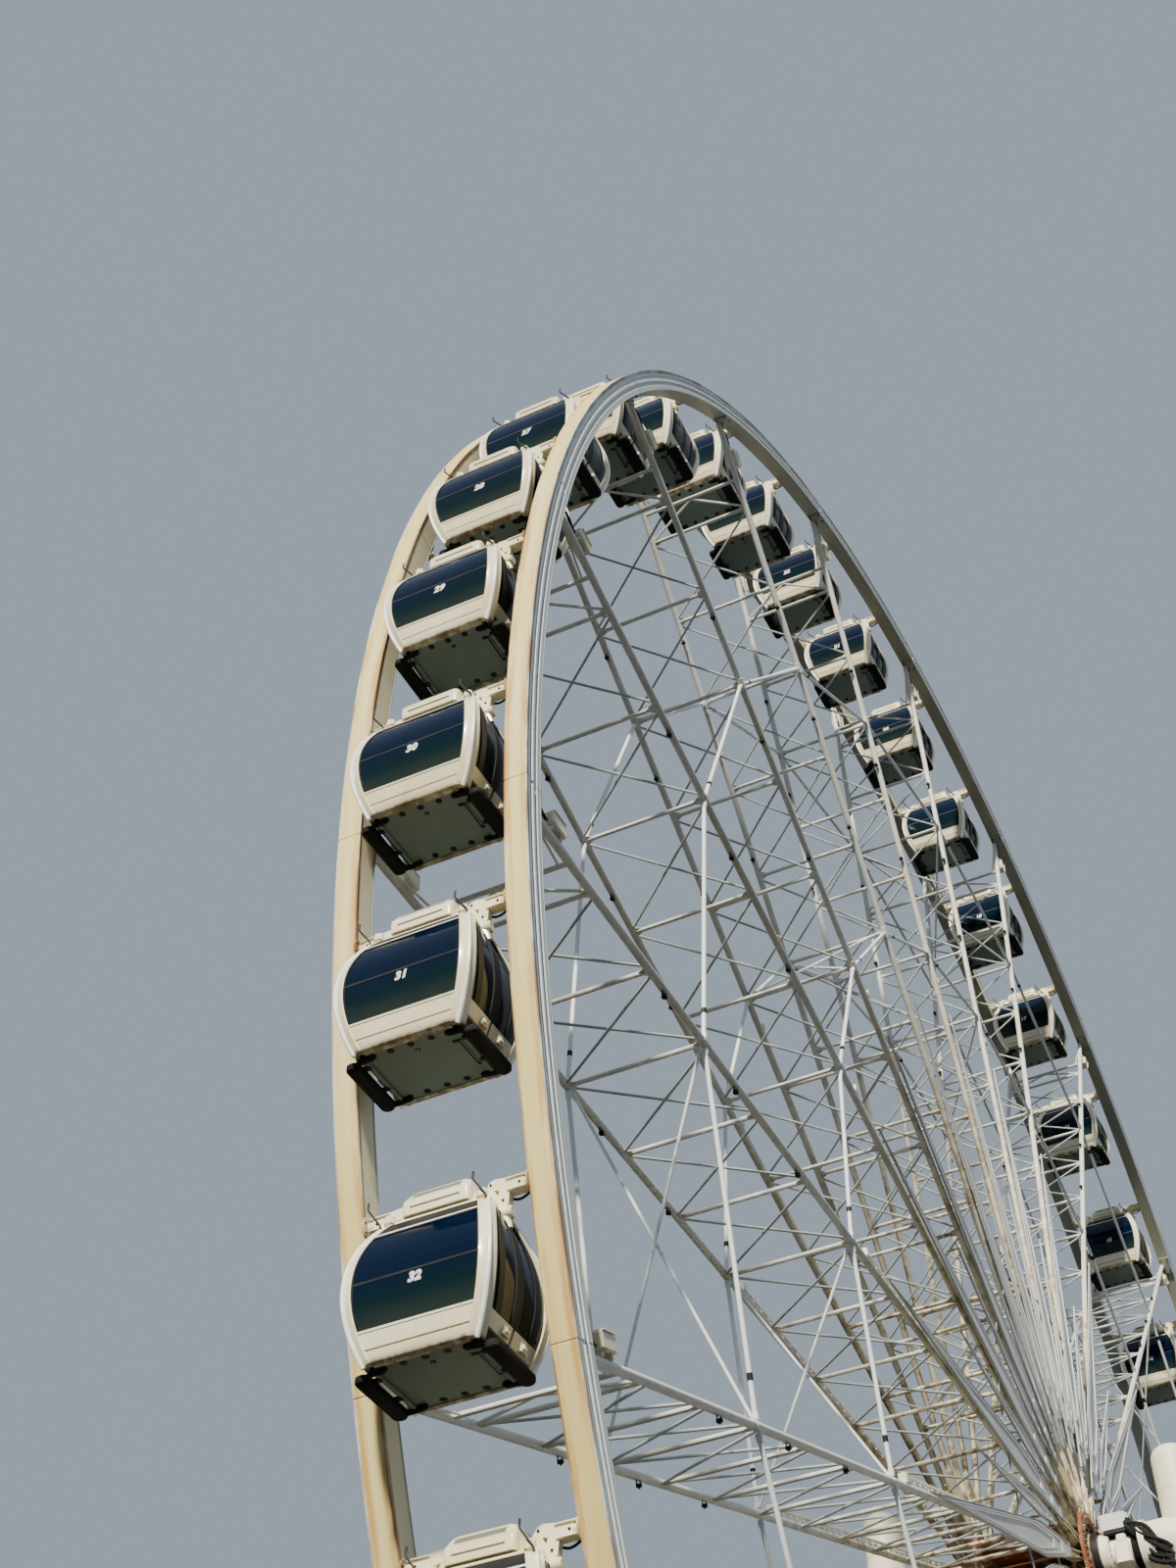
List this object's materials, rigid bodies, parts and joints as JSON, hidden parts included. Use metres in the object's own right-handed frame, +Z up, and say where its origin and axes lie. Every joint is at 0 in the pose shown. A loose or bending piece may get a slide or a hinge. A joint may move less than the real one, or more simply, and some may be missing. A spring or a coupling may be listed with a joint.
{
  "type": "ferris wheel, 1:2 scale model",
  "caption": "Tall ferris wheel on four leaning legs: twin rims, ladder spoke frames and closed cabins that stay level while the wheel turns about its axle.",
  "frame": {"origin": "centre of the base, on the ground under the axle", "axes": "+Z up, Y along the axle with the front rim towards -Y, X across the wheel"},
  "size_m": [25.5394, 6.8, 26.525],
  "materials": {
    "rim_paint": "aged cream",
    "truss_paint": "aged white",
    "hub_paint": "rusted",
    "tower_paint": "satin white",
    "cabin_paint": "aged cream",
    "tinted_glass": "dark tint",
    "black_steel": "black",
    "light_strip": "clear",
    "grey_plate": "satin",
    "black_rubber": "matte"
  },
  "bodies": {
    "supports": {"axle": "tower_paint", "front_tower_head": "tower_paint", "rear_tower_head": "tower_paint", "front_left_leg": "tower_paint", "front_right_leg": "tower_paint", "rear_left_leg": "tower_paint", "rear_right_leg": "tower_paint"},
    "wheel": {"front_rim": "rim_paint", "rear_rim": "rim_paint", "hub": "hub_paint", "spoke_frames_1": "truss_paint", "spoke_frames_2": "truss_paint", "spoke_frames_3": "truss_paint", "spoke_frames_4": "truss_paint", "spoke_frames_5": "truss_paint", "spoke_frames_6": "truss_paint", "spoke_frames_7": "truss_paint"},
    "cabin_01": {"cabin_01": "cabin_paint"},
    "cabin_02": {"cabin_02": "cabin_paint"},
    "cabin_03": {"cabin_03": "cabin_paint"},
    "cabin_04": {"cabin_04": "cabin_paint"},
    "cabin_05": {"cabin_05": "cabin_paint"},
    "cabin_06": {"cabin_06": "cabin_paint"},
    "cabin_07": {"cabin_07": "cabin_paint"},
    "cabin_08": {"cabin_08": "cabin_paint"},
    "cabin_09": {"cabin_09": "cabin_paint"},
    "cabin_10": {"cabin_10": "cabin_paint"},
    "cabin_11": {"cabin_11": "cabin_paint"},
    "cabin_12": {"cabin_12": "cabin_paint"},
    "cabin_13": {"cabin_13": "cabin_paint"},
    "cabin_14": {"cabin_14": "cabin_paint"},
    "cabin_15": {"cabin_15": "cabin_paint"},
    "cabin_16": {"cabin_16": "cabin_paint"},
    "cabin_17": {"cabin_17": "cabin_paint"},
    "cabin_18": {"cabin_18": "cabin_paint"},
    "cabin_19": {"cabin_19": "cabin_paint"},
    "cabin_20": {"cabin_20": "cabin_paint"},
    "cabin_21": {"cabin_21": "cabin_paint"},
    "cabin_22": {"cabin_22": "cabin_paint"},
    "cabin_23": {"cabin_23": "cabin_paint"},
    "cabin_24": {"cabin_24": "cabin_paint"},
    "cabin_25": {"cabin_25": "cabin_paint"},
    "cabin_26": {"cabin_26": "cabin_paint"},
    "cabin_27": {"cabin_27": "cabin_paint"},
    "cabin_28": {"cabin_28": "cabin_paint"},
    "cabin_29": {"cabin_29": "cabin_paint"},
    "cabin_30": {"cabin_30": "cabin_paint"},
    "cabin_31": {"cabin_31": "cabin_paint"},
    "cabin_32": {"cabin_32": "cabin_paint"},
    "cabin_33": {"cabin_33": "cabin_paint"},
    "cabin_34": {"cabin_34": "cabin_paint"},
    "cabin_35": {"cabin_35": "cabin_paint"},
    "cabin_36": {"cabin_36": "cabin_paint"},
    "cabin_37": {"cabin_37": "cabin_paint"},
    "cabin_38": {"cabin_38": "cabin_paint"},
    "cabin_39": {"cabin_39": "cabin_paint"},
    "cabin_40": {"cabin_40": "cabin_paint"},
    "cabin_41": {"cabin_41": "cabin_paint"},
    "cabin_42": {"cabin_42": "cabin_paint"}
  },
  "joints": [
    {"name": "wheel_spin", "type": "hinge", "parent": "supports", "child": "wheel", "pos_m": [0, 0, 14], "axis": [0, 1, 0], "continuous": true},
    {"name": "cabin_01_swing", "type": "hinge", "parent": "wheel", "child": "cabin_01", "pos_m": [3.6697, 0, 2.10312], "axis": [0, 1, 0], "continuous": true},
    {"name": "cabin_02_swing", "type": "hinge", "parent": "wheel", "child": "cabin_02", "pos_m": [5.40185, 0, 2.78294], "axis": [0, 1, 0], "continuous": true},
    {"name": "cabin_03_swing", "type": "hinge", "parent": "wheel", "child": "cabin_03", "pos_m": [7.01333, 0, 3.71333], "axis": [0, 1, 0], "continuous": true},
    {"name": "cabin_04_swing", "type": "hinge", "parent": "wheel", "child": "cabin_04", "pos_m": [8.46815, 0, 4.8735], "axis": [0, 1, 0], "continuous": true},
    {"name": "cabin_05_swing", "type": "hinge", "parent": "wheel", "child": "cabin_05", "pos_m": [9.7338, 0, 6.23755], "axis": [0, 1, 0], "continuous": true},
    {"name": "cabin_06_swing", "type": "hinge", "parent": "wheel", "child": "cabin_06", "pos_m": [10.78202, 0, 7.775], "axis": [0, 1, 0], "continuous": true},
    {"name": "cabin_07_swing", "type": "hinge", "parent": "wheel", "child": "cabin_07", "pos_m": [11.58938, 0, 9.4515], "axis": [0, 1, 0], "continuous": true},
    {"name": "cabin_08_swing", "type": "hinge", "parent": "wheel", "child": "cabin_08", "pos_m": [12.13785, 0, 11.22961], "axis": [0, 1, 0], "continuous": true},
    {"name": "cabin_09_swing", "type": "hinge", "parent": "wheel", "child": "cabin_09", "pos_m": [12.41519, 0, 13.06961], "axis": [0, 1, 0], "continuous": true},
    {"name": "cabin_10_swing", "type": "hinge", "parent": "wheel", "child": "cabin_10", "pos_m": [12.41519, 0, 14.93039], "axis": [0, 1, 0], "continuous": true},
    {"name": "cabin_11_swing", "type": "hinge", "parent": "wheel", "child": "cabin_11", "pos_m": [12.13785, 0, 16.77039], "axis": [0, 1, 0], "continuous": true},
    {"name": "cabin_12_swing", "type": "hinge", "parent": "wheel", "child": "cabin_12", "pos_m": [11.58938, 0, 18.5485], "axis": [0, 1, 0], "continuous": true},
    {"name": "cabin_13_swing", "type": "hinge", "parent": "wheel", "child": "cabin_13", "pos_m": [10.78202, 0, 20.225], "axis": [0, 1, 0], "continuous": true},
    {"name": "cabin_14_swing", "type": "hinge", "parent": "wheel", "child": "cabin_14", "pos_m": [9.7338, 0, 21.76245], "axis": [0, 1, 0], "continuous": true},
    {"name": "cabin_15_swing", "type": "hinge", "parent": "wheel", "child": "cabin_15", "pos_m": [8.46815, 0, 23.1265], "axis": [0, 1, 0], "continuous": true},
    {"name": "cabin_16_swing", "type": "hinge", "parent": "wheel", "child": "cabin_16", "pos_m": [7.01333, 0, 24.28667], "axis": [0, 1, 0], "continuous": true},
    {"name": "cabin_17_swing", "type": "hinge", "parent": "wheel", "child": "cabin_17", "pos_m": [5.40185, 0, 25.21706], "axis": [0, 1, 0], "continuous": true},
    {"name": "cabin_18_swing", "type": "hinge", "parent": "wheel", "child": "cabin_18", "pos_m": [3.6697, 0, 25.89688], "axis": [0, 1, 0], "continuous": true},
    {"name": "cabin_19_swing", "type": "hinge", "parent": "wheel", "child": "cabin_19", "pos_m": [1.85558, 0, 26.31094], "axis": [0, 1, 0], "continuous": true},
    {"name": "cabin_20_swing", "type": "hinge", "parent": "wheel", "child": "cabin_20", "pos_m": [0, 0, 26.45], "axis": [0, 1, 0], "continuous": true},
    {"name": "cabin_21_swing", "type": "hinge", "parent": "wheel", "child": "cabin_21", "pos_m": [-1.85558, 0, 26.31094], "axis": [0, 1, 0], "continuous": true},
    {"name": "cabin_22_swing", "type": "hinge", "parent": "wheel", "child": "cabin_22", "pos_m": [-3.6697, 0, 25.89688], "axis": [0, 1, 0], "continuous": true},
    {"name": "cabin_23_swing", "type": "hinge", "parent": "wheel", "child": "cabin_23", "pos_m": [-5.40185, 0, 25.21706], "axis": [0, 1, 0], "continuous": true},
    {"name": "cabin_24_swing", "type": "hinge", "parent": "wheel", "child": "cabin_24", "pos_m": [-7.01333, 0, 24.28667], "axis": [0, 1, 0], "continuous": true},
    {"name": "cabin_25_swing", "type": "hinge", "parent": "wheel", "child": "cabin_25", "pos_m": [-8.46815, 0, 23.1265], "axis": [0, 1, 0], "continuous": true},
    {"name": "cabin_26_swing", "type": "hinge", "parent": "wheel", "child": "cabin_26", "pos_m": [-9.7338, 0, 21.76245], "axis": [0, 1, 0], "continuous": true},
    {"name": "cabin_27_swing", "type": "hinge", "parent": "wheel", "child": "cabin_27", "pos_m": [-10.78202, 0, 20.225], "axis": [0, 1, 0], "continuous": true},
    {"name": "cabin_28_swing", "type": "hinge", "parent": "wheel", "child": "cabin_28", "pos_m": [-11.58938, 0, 18.5485], "axis": [0, 1, 0], "continuous": true},
    {"name": "cabin_29_swing", "type": "hinge", "parent": "wheel", "child": "cabin_29", "pos_m": [-12.13785, 0, 16.77039], "axis": [0, 1, 0], "continuous": true},
    {"name": "cabin_30_swing", "type": "hinge", "parent": "wheel", "child": "cabin_30", "pos_m": [-12.41519, 0, 14.93039], "axis": [0, 1, 0], "continuous": true},
    {"name": "cabin_31_swing", "type": "hinge", "parent": "wheel", "child": "cabin_31", "pos_m": [-12.41519, 0, 13.06961], "axis": [0, 1, 0], "continuous": true},
    {"name": "cabin_32_swing", "type": "hinge", "parent": "wheel", "child": "cabin_32", "pos_m": [-12.13785, 0, 11.22961], "axis": [0, 1, 0], "continuous": true},
    {"name": "cabin_33_swing", "type": "hinge", "parent": "wheel", "child": "cabin_33", "pos_m": [-11.58938, 0, 9.4515], "axis": [0, 1, 0], "continuous": true},
    {"name": "cabin_34_swing", "type": "hinge", "parent": "wheel", "child": "cabin_34", "pos_m": [-10.78202, 0, 7.775], "axis": [0, 1, 0], "continuous": true},
    {"name": "cabin_35_swing", "type": "hinge", "parent": "wheel", "child": "cabin_35", "pos_m": [-9.7338, 0, 6.23755], "axis": [0, 1, 0], "continuous": true},
    {"name": "cabin_36_swing", "type": "hinge", "parent": "wheel", "child": "cabin_36", "pos_m": [-8.46815, 0, 4.8735], "axis": [0, 1, 0], "continuous": true},
    {"name": "cabin_37_swing", "type": "hinge", "parent": "wheel", "child": "cabin_37", "pos_m": [-7.01333, 0, 3.71333], "axis": [0, 1, 0], "continuous": true},
    {"name": "cabin_38_swing", "type": "hinge", "parent": "wheel", "child": "cabin_38", "pos_m": [-5.40185, 0, 2.78294], "axis": [0, 1, 0], "continuous": true},
    {"name": "cabin_39_swing", "type": "hinge", "parent": "wheel", "child": "cabin_39", "pos_m": [-3.6697, 0, 2.10312], "axis": [0, 1, 0], "continuous": true},
    {"name": "cabin_40_swing", "type": "hinge", "parent": "wheel", "child": "cabin_40", "pos_m": [-1.85558, 0, 1.68906], "axis": [0, 1, 0], "continuous": true},
    {"name": "cabin_41_swing", "type": "hinge", "parent": "wheel", "child": "cabin_41", "pos_m": [0, 0, 1.55], "axis": [0, 1, 0], "continuous": true},
    {"name": "cabin_42_swing", "type": "hinge", "parent": "wheel", "child": "cabin_42", "pos_m": [1.85558, 0, 1.68906], "axis": [0, 1, 0], "continuous": true}
  ],
  "couplings": [
    {"joint": "cabin_01_swing", "follows": "wheel_spin", "ratio": -1},
    {"joint": "cabin_02_swing", "follows": "wheel_spin", "ratio": -1},
    {"joint": "cabin_03_swing", "follows": "wheel_spin", "ratio": -1},
    {"joint": "cabin_04_swing", "follows": "wheel_spin", "ratio": -1},
    {"joint": "cabin_05_swing", "follows": "wheel_spin", "ratio": -1},
    {"joint": "cabin_06_swing", "follows": "wheel_spin", "ratio": -1},
    {"joint": "cabin_07_swing", "follows": "wheel_spin", "ratio": -1},
    {"joint": "cabin_08_swing", "follows": "wheel_spin", "ratio": -1},
    {"joint": "cabin_09_swing", "follows": "wheel_spin", "ratio": -1},
    {"joint": "cabin_10_swing", "follows": "wheel_spin", "ratio": -1},
    {"joint": "cabin_11_swing", "follows": "wheel_spin", "ratio": -1},
    {"joint": "cabin_12_swing", "follows": "wheel_spin", "ratio": -1},
    {"joint": "cabin_13_swing", "follows": "wheel_spin", "ratio": -1},
    {"joint": "cabin_14_swing", "follows": "wheel_spin", "ratio": -1},
    {"joint": "cabin_15_swing", "follows": "wheel_spin", "ratio": -1},
    {"joint": "cabin_16_swing", "follows": "wheel_spin", "ratio": -1},
    {"joint": "cabin_17_swing", "follows": "wheel_spin", "ratio": -1},
    {"joint": "cabin_18_swing", "follows": "wheel_spin", "ratio": -1},
    {"joint": "cabin_19_swing", "follows": "wheel_spin", "ratio": -1},
    {"joint": "cabin_20_swing", "follows": "wheel_spin", "ratio": -1},
    {"joint": "cabin_21_swing", "follows": "wheel_spin", "ratio": -1},
    {"joint": "cabin_22_swing", "follows": "wheel_spin", "ratio": -1},
    {"joint": "cabin_23_swing", "follows": "wheel_spin", "ratio": -1},
    {"joint": "cabin_24_swing", "follows": "wheel_spin", "ratio": -1},
    {"joint": "cabin_25_swing", "follows": "wheel_spin", "ratio": -1},
    {"joint": "cabin_26_swing", "follows": "wheel_spin", "ratio": -1},
    {"joint": "cabin_27_swing", "follows": "wheel_spin", "ratio": -1},
    {"joint": "cabin_28_swing", "follows": "wheel_spin", "ratio": -1},
    {"joint": "cabin_29_swing", "follows": "wheel_spin", "ratio": -1},
    {"joint": "cabin_30_swing", "follows": "wheel_spin", "ratio": -1},
    {"joint": "cabin_31_swing", "follows": "wheel_spin", "ratio": -1},
    {"joint": "cabin_32_swing", "follows": "wheel_spin", "ratio": -1},
    {"joint": "cabin_33_swing", "follows": "wheel_spin", "ratio": -1},
    {"joint": "cabin_34_swing", "follows": "wheel_spin", "ratio": -1},
    {"joint": "cabin_35_swing", "follows": "wheel_spin", "ratio": -1},
    {"joint": "cabin_36_swing", "follows": "wheel_spin", "ratio": -1},
    {"joint": "cabin_37_swing", "follows": "wheel_spin", "ratio": -1},
    {"joint": "cabin_38_swing", "follows": "wheel_spin", "ratio": -1},
    {"joint": "cabin_39_swing", "follows": "wheel_spin", "ratio": -1},
    {"joint": "cabin_40_swing", "follows": "wheel_spin", "ratio": -1},
    {"joint": "cabin_41_swing", "follows": "wheel_spin", "ratio": -1},
    {"joint": "cabin_42_swing", "follows": "wheel_spin", "ratio": -1}
  ]
}
